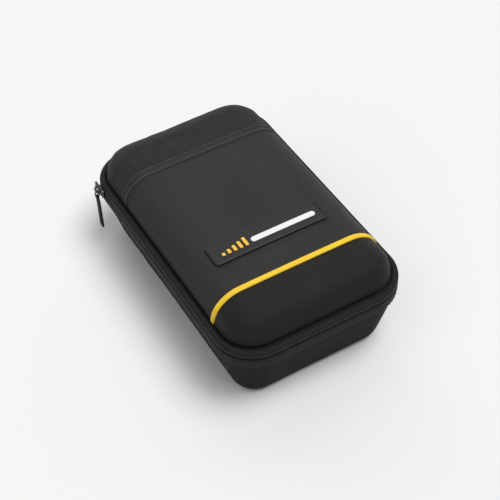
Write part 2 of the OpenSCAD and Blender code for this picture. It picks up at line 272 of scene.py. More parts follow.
def ribbed(n, color, pitch, depth, axis="Y", rough=0.7):
    """Binding, elastic or zip tape: fine ribs across the strip with a softer cross thread."""
    rib = n.bands(axis, pitch)
    cross = n.bands("X" if axis != "X" else "Y", pitch * 0.8)
    thread = n.math("ADD", rib, n.math("MULTIPLY", cross, 0.4))
    cloud = n.noise(7 * MM)
    shade = n.mix(n.ramp(thread, 0.1, 1.3), tone(color, 0.75), tone(color, 1.35))
    shade = n.mix(n.ramp(cloud, 0.3, 0.8, 0.0, 0.35), shade, tone(color, 1.6))
    rough_map = n.ramp(cloud, 0.25, 0.75, rough - 0.06, rough + 0.08)
    return n.finish(Base_Color=shade, Roughness=rough_map, Normal=n.bump(thread, depth),
                    Sheen_Weight=0.04, Sheen_Roughness=0.4, Specular_IOR_Level=0.2)


def moulded(n, color, rough, grain=0.5 * MM, level=0.4, vary=0.13):
    """Rubber or plastic: fine moulded grain, slight rub marks and tone changes."""
    speckle = n.noise(grain, 3.0, 0.6)
    rub = n.noise(6 * MM, 4.0, 0.6)
    shade = n.mix(n.ramp(rub, 0.35, 0.7), tone(color, 1 - vary), tone(color, 1 + vary))
    rough_map = n.ramp(rub, 0.3, 0.75, rough - 0.06, rough + 0.1)
    return n.finish(Base_Color=shade, Roughness=rough_map, Normal=n.bump(speckle, 0.02 * MM),
                    Specular_IOR_Level=level)


def metal(n, color):
    """Plated die casting: faint casting waves, scratches and duller hollows."""
    rough = 0.3
    wave = n.noise(2.5 * MM, 3.0)
    scratch = n.bands("Z", 0.22 * MM, 6.0)
    shade = n.mix(n.ramp(wave, 0.3, 0.7), tone(color, 0.8), tone(color, 1.12))
    normal = n.bump(wave, 0.05 * MM)
    normal = n.bump(scratch, 0.004 * MM, normal, 0.6)
    rough_map = n.ramp(wave, 0.3, 0.75, rough - 0.08, rough + 0.14)
    return n.finish(Base_Color=shade, Roughness=rough_map, Normal=normal, Metallic=1.0)


def foam(n, color):
    """Cut closed-cell foam: tiny cells, matt, with uneven tone."""
    sockets = {"Vector": n.place, "Scale": 1 / (0.9 * MM), "Randomness": 1.0}
    cells = n.add("ShaderNodeTexVoronoi", sockets).outputs["Distance"]
    cloud = n.noise(14 * MM)
    shade = n.mix(n.ramp(cells, 0.0, 0.7), tone(color, 0.6), tone(color, 1.25))
    shade = n.mix(n.ramp(cloud, 0.3, 0.8, 0.0, 0.3), shade, tone(color, 1.6))
    return n.finish(Base_Color=shade, Roughness=n.ramp(cloud, 0.3, 0.7, 0.86, 0.96),
                    Normal=n.bump(cells, 0.12 * MM), Specular_IOR_Level=0.25)


def plain_floor():
    n = new_material("floor")
    tint = n.mix(n.noise(0.5, 2.0), (0.765, 0.765, 0.755, 1), (0.785, 0.785, 0.775, 1))
    return n.finish(Base_Color=tint, Roughness=0.8, Specular_IOR_Level=0.1,
                    Emission_Color=(1, 1, 1, 1), Emission_Strength=0.038)


LOOKS = {
    "base_fabric": (fabric, dict(pitch=0.9 * MM, depth=0.1 * MM, rough=0.82, level=0.12,
                                 folds=0.3 * MM)),
    "lining": (fabric, dict(pitch=0.6 * MM, depth=0.05 * MM, rough=0.9, sheen=0.4)),
    "binding": (ribbed, dict(pitch=0.8 * MM, depth=0.12 * MM)),
    "foam": (foam, {}),
    "elastic": (ribbed, dict(pitch=1.1 * MM, depth=0.12 * MM, axis="X")),
    "zip_tape": (ribbed, dict(pitch=0.8 * MM, depth=0.1 * MM, axis="Z")),
    "zip_coil": (moulded, dict(rough=0.35)),
    "slider_metal": (metal, {}),
    "eva_foam": (foam, {}),
    "mesh": (fabric, dict(pitch=0.5 * MM, depth=0.08 * MM)),
    "far_fabric": (fabric, dict(pitch=0.8 * MM, depth=0.07 * MM, folds=0.7 * MM,
                                fold_size=4.5 * MM)),
    "centre_fabric": (fabric, dict(pitch=0.55 * MM, depth=0.025 * MM, rough=0.68, sheen=0.02,
                                   vary=0.06, folds=0.2 * MM, fold_size=30 * MM)),
    "near_fabric": (fabric, dict(pitch=0.6 * MM, depth=0.04 * MM, rough=0.64, vary=0.1,
                                 folds=0.25 * MM, fold_size=14 * MM)),
    "seam_cord": (fabric, dict(pitch=0.6 * MM, depth=0.05 * MM, rough=0.6)),
    "piping_yellow": (ribbed, dict(pitch=0.6 * MM, depth=0.02 * MM, axis="X", rough=0.5)),
    "badge_rubber": (moulded, dict(rough=0.48)),
    "mark_yellow": (moulded, dict(rough=0.42, vary=0.04)),
    "mark_white": (moulded, dict(rough=0.42, vary=0.02)),
    "pull_rubber": (moulded, dict(rough=0.6, level=0.2)),
}


def make_materials():
    """One material for each slot of the record, in its colour, and one for sewing thread."""
    color = {m["slot"]: m["base_color"] for m in frame["record"]["materials"]}
    made = {}
    for name, (make, look) in LOOKS.items():
        made[name] = make(new_material(name), color[name], **look)
    made["thread"] = moulded(new_material("thread"), (0.018, 0.018, 0.018), 0.5, 0.2 * MM)
    return made


MATERIALS = make_materials()


# -------- objects and meshes
def clamp(value):
    return min(1, max(0, value))


def arc(x, y, radius, first, last, n):
    """Points on a circle from one angle to another, in degrees."""
    turns = [radians(first + (last - first) * k / n) for k in range(n + 1)]
    return [(x + radius * cos(a), y + radius * sin(a)) for a in turns]


def mesh_of(points, faces):
    mesh = bpy.data.meshes.new("mesh")
    mesh.from_pydata([tuple(p) for p in points], [], [tuple(f) for f in faces])
    mesh.validate()
    return mesh


def piece(name, mesh, material, body, *replaces, slot=None):
    mesh.name = name
    mesh.polygons.foreach_set("use_smooth", [True] * len(mesh.polygons))
    mesh.materials.clear()
    mesh.materials.append(MATERIALS[material])
    obj = add_object(name, mesh)
    if body:
        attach(obj, body)
    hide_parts(*replaces)
    return obj


def final_mesh(obj):
    """The object's mesh with its modifiers applied; the object itself is removed."""
    graph = bpy.context.evaluated_depsgraph_get()
    mesh = bpy.data.meshes.new_from_object(obj.evaluated_get(graph))
    bpy.data.objects.remove(obj)
    return mesh


def thicken(obj, thick, offset):
    shell = obj.modifiers.new("thickness", "SOLIDIFY")
    shell.thickness = thick
    shell.offset = offset


def mesh_from(work):
    """New mesh from a bmesh, which is freed."""
    mesh = bpy.data.meshes.new("mesh")
    work.to_mesh(mesh)
    work.free()
    return mesh


def merged(meshes):
    """One mesh out of several."""
    work = bmesh.new()
    for mesh in meshes:
        work.from_mesh(mesh)
    return mesh_from(work)


# -------- outlines, lofts and sweeps
# Corners of a rounded rectangle, each as x side, y side, first and last angle in degrees
ALL_ROUND = ((1, 1, 0, 90), (-1, 1, 90, 180), (-1, -1, 180, 270), (1, -1, 270, 360))


def zip_run(end):
    return ((-1, 1, 90 + end, 180), (-1, -1, 180, 270), (1, -1, 270, 360), (1, 1, 0, 90 - end))


def hinge_run(end):
    return ((1, 1, 90 - end, 90), (-1, 1, 90, 90 + end))


class Outline:
    """Rounded rectangle seen from above, in columns that rings of every inset share."""

    def __init__(self, half_w, half_l, radius, step=STEP, corners=ALL_ROUND, centre=(0, 0),
                 least=1.5 * MM):
        self.half_w, self.half_l, self.radius = half_w, half_l, radius
        self.centre, self.least = centre, least
        self.closed = corners is ALL_ROUND
        cols = []
        for i, (sx, sy, first, last) in enumerate(corners):
            n = max(4, round(radians(abs(last - first)) * radius / step))
            cols += [(sx, sy, c, s) for c, s in arc(0, 0, 1, first, last, n)]
            if i + 1 == len(corners) and not self.closed:
                break
            nx, ny = corners[(i + 1) % len(corners)][:2]
            length = 2 * (half_l if nx == sx else half_w) - 2 * radius
            m = max(2, round(length / step))
            c, s = cols[-1][2:]
            cols += [(sx + (nx - sx) * k / m, sy + (ny - sy) * k / m, c, s) for k in range(1, m)]
        self.cols = np.array(cols)
        end = round(pi / 2 * radius / step)
        ends = max(2, round(2 * (half_w - radius) / step))
        sides = max(2, round(2 * (half_l - radius) / step))
        self.mirror = 2 * max(4, end) + ends if half_l > half_w else len(cols) - sides

    def ring(self, inset, z):
        r = max(self.radius - inset, self.least)
        x = self.centre[0] + self.cols[:, 0] * (self.half_w - inset - r) + r * self.cols[:, 2]
        y = self.centre[1] + self.cols[:, 1] * (self.half_l - inset - r) + r * self.cols[:, 3]
        return np.stack([x, y, np.full(len(x), z)], axis=1)

    def outward(self, level, rise):
        """Directions that lean outwards by level and upwards by rise."""
        flat = self.cols[:, 2:] * level
        return np.concatenate([flat, np.full((len(flat), 1), rise)], axis=1)

    def middle(self, start, up):
        """Strip of faces that fills the ring that starts at this vertex."""
        n = len(self.cols)
        faces = []
        for i in range(ceil((self.mirror + n) / 2), n + self.mirror // 2):
            loop = [i % n, (i + 1) % n, (self.mirror - i - 1) % n, (self.mirror - i) % n]
            loop = [start + v for k, v in enumerate(loop) if v not in loop[:k]]
            if len(loop) > 2:
                faces.append(loop if up else loop[::-1])
        return faces


CASE = Outline(HALF_W, HALF_L, CORNER_R)
COARSE = Outline(HALF_W, HALF_L, CORNER_R, 3 * MM)


def ring_faces(n, first, second, closed):
    return [(first + i, first + (i + 1) % n, second + (i + 1) % n, second + i)
            for i in range(n if closed else n - 1)]


def loft(outline, rings, fill_first=True):
    """Mesh through rings that go up or inwards, filled over the last ring."""
    n, last = len(rings[0]), len(rings) - 1
    faces = [f for k in range(last) for f in ring_faces(n, k * n, (k + 1) * n, True)]
    if fill_first:
        faces += outline.middle(0, False)
    faces += outline.middle(last * n, True)
    return mesh_of(np.concatenate(rings), faces)


def sweep(rings, closed_run=False):
    """Mesh through the rings of a closed profile; open runs get a flat strip over each end."""
    n, m = len(rings[0]), len(rings)
    faces = [f for k in range(m) for f in ring_faces(n, k * n, (k + 1) % m * n, closed_run)]
    if not closed_run:
        for k in range(m // 2 - 1):
            loop = [k * n, (k + 1) * n, (m - 2 - k) * n, (m - 1 - k) * n]
            faces.append(loop)
            faces.append([v + n - 1 for v in reversed(loop)])
    return mesh_of(np.concatenate(rings), faces)


def smooth_line(points, per=4):
    """Curve through the points (Catmull-Rom)."""
    p = [np.array(q, float) for q in points]
    p = [2 * p[0] - p[1]] + p + [2 * p[-1] - p[-2]]
    made = []
    for i in range(1, len(p) - 2):
        for k in range(per):
            t = k / per
            made.append(0.5 * (2 * p[i] + (p[i + 1] - p[i - 1]) * t
                               + (2 * p[i - 1] - 5 * p[i] + 4 * p[i + 1] - p[i + 2]) * t * t
                               + (3 * p[i] - p[i - 1] - 3 * p[i + 1] + p[i + 2]) * t ** 3))
    return made + [p[-2]]


def strip_profile(line, thick):
    """Closed profile of a strip whose outer face is the line, thinner at its two edges."""
    line = np.array(line)
    along = np.gradient(line, axis=0)
    along /= np.linalg.norm(along, axis=1)[:, None]
    inward = np.stack([along[:, 1], -along[:, 0]], axis=1)
    share = np.ones(len(line))
    share[[0, -1]] = 0.35
    share[[1, -2]] = 0.8
    outer = line + inward * (thick * (1 - share) / 2)[:, None]
    inner = line + inward * (thick * (1 + share) / 2)[:, None]
    return [tuple(p) for p in outer] + [tuple(p) for p in inner[::-1]]


def band(outline, profile):
    """Strip with a closed profile of (inset, z) points that follows the outline."""
    return sweep([outline.ring(inset, z) for inset, z in reversed(profile)], outline.closed)


def ribbon(path, section):
    """Strip along a path of (point, along, outward), with a section of (side, outward) points."""
    return sweep([np.array([p + t.cross(o) * s + o * h for p, t, o in path]) for s, h in section])


def bead(width, rise, low):
    """Section of a soft raised strip: flat underside and a rounded top."""
    n = 8
    turns = [pi * (k + 0.5) / n for k in range(n)]
    top = [(-width / 2 * cos(a), rise * sin(a) ** 0.6) for a in turns]
    under = [(-width / 2 * cos(a) * 0.9, -low) for a in reversed(turns)]
    return top + under


def tube(path, radius, sides, closed=False, hint=UP):
    """Round wire along a path; the hint says which way its first side faces."""
    path = [Vector(p) for p in path]
    n = len(path)
    side = Vector(hint)
    points = []
    for i, p in enumerate(path):
        before = path[i - 1] if i or closed else p
        after = path[(i + 1) % n] if i + 1 < n or closed else p
        along = (after - before).normalized()
        side = (side - along * side.dot(along)).normalized()
        other = along.cross(side)
        for k in range(sides):
            a = 2 * pi * k / sides
            points.append(p + side * (cos(a) * radius) + other * (sin(a) * radius))
    faces = []
    for i in range(n if closed else n - 1):
        faces += ring_faces(sides, i * sides, (i + 1) % n * sides, True)
    if not closed:
        faces.append(tuple(reversed(range(sides))))
        faces.append(tuple((n - 1) * sides + k for k in range(sides)))
    return mesh_of(points, faces)


# -------- plates and blocks
def rounded_loop(points, r):
    """Closed outline with every corner rounded."""
    n = 4
    made = []
    for i, p in enumerate(points):
        p = Vector(p)
        before, after = Vector(points[i - 1]), Vector(points[(i + 1) % len(points)])
        a = p + (before - p).normalized() * min(r, (before - p).length * 0.48)
        b = p + (after - p).normalized() * min(r, (after - p).length * 0.48)
        for k in range(n + 1):
            t = k / n
            made.append(tuple(a * (1 - t) ** 2 + p * 2 * t * (1 - t) + b * t * t))
    return made


def upright(x, y, z=ZIP_Z):
    """Places a plate drawn as (along y, along z) upright in a plane of constant x."""
    turn = Matrix(((0, 0, 1), (1, 0, 0), (0, 1, 0))).to_4x4()
    return Matrix.Translation((x, y, z)) @ turn


def plate(loops, thick, bevel, place):
    """Flat plate with rounded edges; the first outline is its rim and the rest are holes."""
    curve = bpy.data.curves.new("plate", "CURVE")
    curve.dimensions = "2D"
    curve.fill_mode = "BOTH"
    curve.extrude = thick / 2 - bevel
    curve.bevel_depth = bevel
    curve.bevel_resolution = 2
    curve.offset = -bevel
    for loop in loops:
        line = curve.splines.new("POLY")
        line.points.add(len(loop) - 1)
        for point, (x, y) in zip(line.points, loop):
            point.co = (x, y, 0, 1)
        line.use_cyclic_u = True
    work = bmesh.new()
    work.from_mesh(final_mesh(add_object("scratch", curve)))
    bmesh.ops.remove_doubles(work, verts=work.verts, dist=0.002 * MM)
    bmesh.ops.recalc_face_normals(work, faces=work.faces)
    mesh = mesh_from(work)
    mesh.transform(place)
    return mesh


def block(size, bevel, at, turn=Matrix()):
    """Box with rounded edges."""
    work = bmesh.new()
    bmesh.ops.create_cube(work, size=1)
    bmesh.ops.scale(work, vec=size, verts=work.verts)
    bmesh.ops.bevel(work, geom=work.edges[:], offset=bevel, segments=3, affect="EDGES", profile=0.5)
    mesh = mesh_from(work)
    mesh.transform(Matrix.Translation(at) @ turn)
    return mesh


# -------- sewing
def run_lengths(points):
    """Distance from the first point to each point along the path."""
    return np.concatenate([[0], np.cumsum(np.linalg.norm(np.diff(points, axis=0), axis=1))])


def at_length(at, run, values):
    return np.array([np.interp(at, run, values[:, c]) for c in range(3)])


def add_stitch(points, faces, at, along, out, length, thick):
    """One thread that lies along the surface and dips into it at both ends."""
    sides = 6
    shape = ((-0.36, 0.7), (-0.15, 1.0), (0.15, 1.0), (0.36, 0.7))
    side = along.cross(out).normalized()
    base = len(points)
    for t, share in shape:
        p = at + along * (t * length)
        r = thick * share / 2
        for j in range(sides):
            a = 2 * pi * j / sides
            points.append(p + side * cos(a) * r * 1.25 + out * (sin(a) * r + 0.04 * MM))
    for i in range(len(shape) - 1):
        faces += ring_faces(sides, base + i * sides, base + (i + 1) * sides, True)
    for t, first in ((-0.5, 0), (0.5, (len(shape) - 1) * sides)):
        points.append(at + along * (t * length) - out * thick * 0.4)
        tip = len(points) - 1
        for j in range(sides):
            a, b = base + first + j, base + first + (j + 1) % sides
            faces.append((b, a, tip) if t < 0 else (a, b, tip))


def stitches(name, path, body, slot, pitch=3.0 * MM, length=2.2 * MM, thick=0.32 * MM):
    """Row of sewn threads along a path of (point, outward) pairs."""
    spots = np.array([p for p, _ in path])
    outs = np.array([o for _, o in path])
    run = run_lengths(spots)
    points, faces = [], []
    for k in range(int((run[-1] - length) / pitch) + 1):
        middle = length / 2 + k * pitch
        start, at, end = (at_length(middle + d, run, spots) for d in (-length / 2, 0, length / 2))
        out = Vector(at_length(middle, run, outs)).normalized()
        along = Vector(end - start).normalized()
        add_stitch(points, faces, Vector(at), along, out, length, thick)
    piece(name, mesh_of(points, faces), "thread", body, slot=slot)


def ring_path(outline, inset, z, facing=1, sunk=0.0):
    """Path of (point, outward) pairs round an outline, for stitches."""
    outs = outline.outward(facing, 0)
    path = list(zip(outline.ring(inset, z) - outs * sunk, outs))
    return path + path[:1] if outline.closed else path


# -------- surfaces of the lid and the base
def wrinkle(p, size, stretch=(1, 1, 1)):
    q = Vector((p[0] * stretch[0], p[1] * stretch[1], p[2] * stretch[2])) / size + SEED
    return noise.noise(q)


def lid_sag(x, y):
    """How far the crowned top falls below its middle."""
    bump = (1 - (x / (HALF_W - LID_INSET)) ** 2) * (1 - (y / (HALF_L - LID_INSET)) ** 2)
    return CROWN * (1 - bump)


def lid_top(x, y):
    return LID_TOP - lid_sag(x, y)


def crease(y):
    """Dip of the fabric beside the piping and the double seam."""
    near = exp(-(((y - STRIPE_Y) / (2.6 * MM)) ** 2))
    far = exp(-(((y - SEAM_Y) / (4.2 * MM)) ** 2))
    return (0.75 * near + 0.4 * far) * MM


def far_relief(p):
    soft = wrinkle(p, 9 * MM, (1, 1.6, 1)) * 0.32 + wrinkle(p, 4 * MM, (1, 1.3, 1)) * 0.12
    return soft * MM * clamp((p[1] - SEAM_Y) / (5 * MM)) - crease(p[1])


def centre_relief(p):
    return wrinkle(p, 38 * MM) * 0.12 * MM - crease(p[1])


def near_relief(p):
    return (wrinkle(p, 17 * MM) * 0.22 + wrinkle(p, 7 * MM) * 0.04) * MM - crease(p[1])


def base_relief(p):
    """Wrinkles that fade out towards the floor and the zip tape."""
    side = clamp((p[2] - 2 * MM) / (6 * MM))
    fade = clamp((FOOT_Z - p[2]) / (5 * MM))
    return (wrinkle(p, 21 * MM, (1, 1, 1.4)) * 0.3 + wrinkle(p, 8 * MM) * 0.07) * MM * side * fade


def raised(rows, relief):
    """Rings out of rows of (points, outward directions), pushed outwards by the relief."""
    if relief:
        for points, outs in rows:
            points += outs * np.array([relief(p) for p in points])[:, None]
    return [points for points, _ in rows]


def lid_rings(outline, depth, low=0.0, rows=14, inner_rows=16, relief=None):
    """Rings over the dome from the edge to the middle."""
    made = []
    for k in range(rows + 1):
        angle = low + (pi / 2 - low) * k / rows
        c, s = cos(angle), sin(angle)
        points = outline.ring(DOME_INSET - (SHOULDER - depth) * c, LID_EDGE + (SHOULDER - depth) * s)
        points[:, 2] -= lid_sag(points[:, 0], points[:, 1]) * s * s
        made.append((points, outline.outward(c, s)))
    for k in range(1, inner_rows + 1):
        inset = DOME_INSET + (INNERMOST - DOME_INSET) * k / inner_rows
        points = outline.ring(inset, LID_TOP - depth)
        points[:, 2] -= lid_sag(points[:, 0], points[:, 1])
        made.append((points, outline.outward(0, 1)))
    return raised(made, relief)


def wall_inset(off, z):
    """Inset of the base's side wall at a height, off inside its outer face."""
    return RIM_INSET + (BASE_RIM - z) * tan(BASE_LEAN) + off / cos(BASE_LEAN)


def base_rings(outline, off, top_z, wall_rows=12, arc_rows=10, ease=0.0, inner_rows=8, relief=None):
    """Rings up the base from the middle of its floor."""
    made = []
    for k in range(inner_rows, 0, -1):
        inset = BASE_ARC_INSET + (INNERMOST - BASE_ARC_INSET) * k / inner_rows
        made.append((outline.ring(inset, off), outline.outward(0, -1)))
    for k in range(arc_rows + 1):
        a = pi / 2 - (pi / 2 - BASE_LEAN) * k / arc_rows
        inset = BASE_ARC_INSET - (BASE_R - off) * cos(a)
        z = BASE_R - (BASE_R - off) * sin(a)
        made.append((outline.ring(inset, z), outline.outward(cos(a), -sin(a))))
    z0 = BASE_R - (BASE_R - off) * sin(BASE_LEAN)
    outs = outline.outward(cos(BASE_LEAN), -sin(BASE_LEAN))
    for k in range(1, wall_rows + 1):
        z = z0 + (top_z - ease - z0) * k / wall_rows
        made.append((outline.ring(wall_inset(off, z), z), outs))
    for share, rise in ((0.3, 0.7), (1.0, 1.0)) if ease else ():
        z = top_z - ease + ease * rise
        made.append((outline.ring(wall_inset(off, z) + ease * share, z), outs))
    return raised(made, relief)


def over_path(y):
    """Path over the lid at one y, right edge to left edge, as (point, along, outward)."""
    step = 2.2 * MM
    cx = HALF_W - DOME_INSET
    right = []
    for k in range(17):
        a = radians(2 + 88 * k / 16)
        p = Vector((cx + SHOULDER * cos(a), y, LID_EDGE + SHOULDER * sin(a)))
        p.z -= lid_sag(p.x, y) * sin(a) ** 2
        right.append((p, Vector((cos(a), 0, sin(a)))))
    n = round(2 * cx / step)
    middle = [cx - 2 * cx * k / n for k in range(1, n)]
    path = right + [(Vector((x, y, lid_top(x, y))), UP) for x in middle]
    path += [(Vector((-p.x, p.y, p.z)), Vector((-o.x, 0, o.z))) for p, o in reversed(right)]
    return [(p, Vector((-o.z, 0, o.x)), o) for p, o in path]


# -------- lid
def edge_binding(body, line, thick, stitch_inset, stitch_z):
    """Tape folded over the cut edges inside the lid or the base, with its sewing."""
    tape = band(CASE, strip_profile(line, thick))
    piece(body + "_edge_binding", tape, "binding", body, body + "_rim_binding")
    path = ring_path(CASE, stitch_inset, stitch_z, -1)
    stitches(body + "_binding_stitch", path, body, "binding", 3.4 * MM, 2.4 * MM)


def lid_panel(name, near_y, far_y, relief, material, node):
    """The lid's outer fabric between two cuts, with a rolled lower edge."""
    lip = 1.3 * MM
    roll = [CASE.ring(LID_INSET + lip - lip * cos(radians(a)),
                      LID_EDGE + lip + lip * sin(radians(a))) for a in (-90, -65, -40, -20)]
    rings = lid_rings(CASE, 0, asin(lip / SHOULDER), 28, 28, relief)
    work = bmesh.new()
    work.from_mesh(loft(CASE, roll + rings, False))
    for y, inner in ((near_y, True), (far_y, False)):
        if y is not None:
            bmesh.ops.bisect_plane(work, geom=work.verts[:] + work.edges[:] + work.faces[:],
                                   plane_co=(0, y, 0), plane_no=(0, 1, 0),
                                   clear_inner=inner, clear_outer=not inner)
    thicken(piece(name, mesh_from(work), material, "lid", node), 0.7 * MM, -1)


def make_lid_skin():
    """The three panels, the strips over their joins and the double seam's sewing."""
    lid_panel("near_panel_fabric", None, STRIPE_Y, near_relief, "near_fabric", "near_panel")
    lid_panel("centre_panel_fabric", STRIPE_Y, SEAM_Y, centre_relief, "centre_fabric", "centre_panel")
    lid_panel("far_panel_fabric", SEAM_Y, None, far_relief, "far_fabric", "far_panel")
    # Name, y, width, rise over the fabric and depth under it in mm, material and CAD node
    strips = (("piping_stripe", STRIPE_Y, 3.7, 0.8, 1.3, "piping_yellow", "yellow_piping"),
              ("seam_band", SEAM_Y, 3.6, 0.05, 1.0, "centre_fabric", "seam_tape"),
              ("seam_cord_near", SEAM_Y - 2.4 * MM, 2.2, 0.55, 0.9, "seam_cord", "seam_ridge_near"),
              ("seam_cord_far", SEAM_Y + 2.4 * MM, 1.7, 0.35, 0.9, "seam_cord", "seam_ridge_far"))
    for name, y, width, rise, low, material, node in strips:
        section = bead(width * MM, rise * MM, low * MM)
        piece(name, ribbon(over_path(y), section), material, "lid", node)
    for name, y in (("seam_stitch_near", SEAM_Y - 0.9 * MM), ("seam_stitch_far", SEAM_Y + 0.9 * MM)):
        stitches(name, [(p, o) for p, _, o in over_path(y)], "lid", "seam_cord")


def make_lid_inside():
    under = CORE + WALL
    shells = (("lid_foam_shell", CORE, under, "eva_foam", "lid_shell"),
              ("lid_inner_lining", under + 0.1 * MM, under + 0.7 * MM, "lining", "lid_lining"))
    for name, outer, inner, material, node in shells:
        rings = lid_rings(COARSE, inner)[::-1] + lid_rings(COARSE, outer)
        piece(name, loft(COARSE, rings), material, "lid", node)
    inset = LID_INSET + under + 0.7 * MM
    shape = ((-2.5, -0.15), (-1.2, -0.1), (-0.1, -0.1), (0.25, 0.6), (0.4, 1.7), (0.6, 2.8))
    line = [(inset + across * MM, LID_EDGE + rise * MM) for across, rise in shape]
    edge_binding("lid", smooth_line(line)[::-1], 0.5 * MM, inset + 1.05 * MM, LID_EDGE + 1.5 * MM)


# -------- pocket in the lid
def in_pocket(x, y, low, high):
    """Whether a point lies within the border; the near side stays open for the hem."""
    edge = POCKET_BORDER * 0.6
    dx, dy = high.x - edge - abs(x), high.y - edge - y
    if dx < 0 or dy < 0 or y < low.y - 1 * MM:
        return False
    r = POCKET_CORNER - edge
    return dx > r or dy > r or hypot(r - dx, r - dy) < r


def pocket_net():
    """Net of six-sided rings that share their outer corners and sag in the middle."""
    low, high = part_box("mesh_pocket")
    _, mid_y, z = box_middle("mesh_pocket")
    pitch, depth, hole_share = 2.7 * MM, 1.3 * MM, 0.66
    radius = pitch / sqrt(3)
    spots, points, faces = {}, [], []

    def vertex(x, y):
        key = (round(x / MM * 50), round(y / MM * 50))
        if key not in spots:
            spots[key] = len(points)
            sag = max(0, 1 - (x / high.x) ** 2) * max(0, 1 - ((y - mid_y) / (high.y - mid_y)) ** 2)
            points.append((x, y, z - depth * sag))
        return spots[key]

    for j in range(int((high.y - low.y) / (pitch * sqrt(3) / 2)) + 2):
        cy = low.y + j * pitch * sqrt(3) / 2
        for i in range(int((high.x - low.x) / pitch) + 2):
            cx = low.x + (i + 0.5 * (j % 2)) * pitch
            corners = arc(cx, cy, radius, 30, 330, 5)
            if all(in_pocket(x, y, low, high) for x, y in corners):
                outer = [vertex(x, y) for x, y in corners]
                hole = [vertex(x, y) for x, y in arc(cx, cy, radius * hole_share, 30, 330, 5)]
                faces += [(outer[k], outer[(k + 1) % 6], hole[(k + 1) % 6], hole[k]) for k in range(6)]
    net = add_object("scratch", mesh_of(points, faces))
    thicken(net, 0.4 * MM, 0)
    return final_mesh(net)


def pocket_path():
    """Path round the pocket's three sewn sides, as (point, along, outward)."""
    low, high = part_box("mesh_pocket")
    _, mid_y, z = box_middle("mesh_pocket")
    loop = Outline(high.x, HALF_L - 12 * MM, POCKET_CORNER, 2 * MM)
    route = [(x, y) for x, y, _ in loop.ring(POCKET_BORDER / 2, 0) if y > low.y]
    route.sort(key=lambda p: (atan2(p[1] - mid_y, p[0]) + pi / 2) % (2 * pi))
    path = []
    for k, (x, y) in enumerate(route):
        a, b = route[max(k - 1, 0)], route[min(k + 1, len(route) - 1)]
        along = Vector((b[0] - a[0], b[1] - a[1], 0)).normalized()
        path.append((Vector((x, y, z)), along, -UP))
    return path


def make_pocket():
    """Mesh pocket with real holes, held by a sewn border."""
    path = pocket_path()
    tape = ribbon(path, bead(POCKET_BORDER, 0.35 * MM, 0.35 * MM))
    pocket = piece("mesh_pocket_net", merged([pocket_net(), tape]), "mesh", "lid", "mesh_pocket")
    stitches("pocket_stitch", [(p + o * 0.36 * MM, o) for p, _, o in path], "lid", "mesh")
    return pocket


def make_hem():
    """Elastic casing along the pocket's mouth, gathered by its elastic."""
    low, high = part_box("pocket_hem")
    _, y, z = box_middle("pocket_hem")
    _, wide, tall = box_size("pocket_hem")
    half_w, half_t = wide / 2, tall / 2
    n = 300
    rings = []
    for a in (2 * pi * k / 20 for k in range(20)):
        across = half_w * copysign(abs(cos(a)) ** 0.5, cos(a))
        rise = half_t * copysign(abs(sin(a)) ** 0.8, sin(a))
        line = []
        for x in (low.x + (high.x - low.x) * k / n for k in range(n + 1)):
            gather = sin(x / (2.6 * MM) * 2 * pi + 0.6 * sin(x / (11 * MM)))
            line.append((x, y + across * (0.97 + 0.03 * gather), z + rise * (0.86 + 0.14 * gather)))
        rings.append(np.array(line))
    hem = piece("pocket_elastic_hem", sweep(rings), "elastic", "lid", "pocket_hem")
    steps = [low.x + (high.x - low.x) * i / 60 for i in range(1, 60)]
    for k, share in enumerate((-0.55, 0.55)):
        path = [(Vector((x, y + half_w * share, z - half_t * 0.86)), -UP) for x in steps]
        stitches(f"hem_stitch_{k + 1}", path, "lid", "elastic")
    return hem


# -------- badge
def draped(outline, steps, base=0.0):
    """Solid on the crowned lid, through steps of (inset, height over the base)."""
    rings = []
    for inset, height in steps:
        points = outline.ring(inset, 0)
        points[:, 2] = [lid_top(x, y) + base + height for x, y, _ in points]
        rings.append(points)
    return loft(outline, rings)


def raised_mark(x, y, width, length, radius):
    """Rounded moulded mark that stands on the badge's sunk face."""
    outline = Outline(width / 2, length / 2, radius, 0.4 * MM, centre=(x, y), least=0.05 * MM)
    rise, e = 0.6 * MM, 0.22 * MM
    flat = min(width, length) / 2 - 0.1 * MM
    steps = [(0, -0.1 * MM), (0, rise - e), (0.07 * MM, rise - 0.07 * MM), (e, rise)]
    steps += [(e + (flat - e) * k / 3, rise) for k in range(1, 4)]
    return draped(outline, steps, BADGE_FACE)


def make_badge():
    """Raised rubber plate with a rim round its sunk face."""
    width, length, tall = box_size("badge_plate")
    middle = tuple(box_middle("badge_plate")[:2])
    outline = Outline(width / 2, length / 2, 2.5 * MM, 0.8 * MM, centre=middle)
    rim, e = 1.1 * MM, 0.45 * MM
    sunk = BADGE_FACE
    steps = [(0.1 * MM, -0.5 * MM), (0, 0.1 * MM), (0, tall - e), (0.13 * MM, tall - 0.13 * MM),
             (e, tall), (rim - e * 0.5, tall), (rim - 0.1 * MM, tall - 0.1 * MM),
             (rim, tall - 0.25 * MM), (rim + 0.1 * MM, sunk + 0.06 * MM), (rim + 0.3 * MM, sunk)]
    inside = length / 2 - 1.6 * MM - rim - 0.3 * MM
    steps += [(rim + 0.3 * MM + inside * k / 6, sunk) for k in range(1, 7)]
    piece("badge_body", draped(outline, steps), "badge_rubber", "lid", "badge_plate")


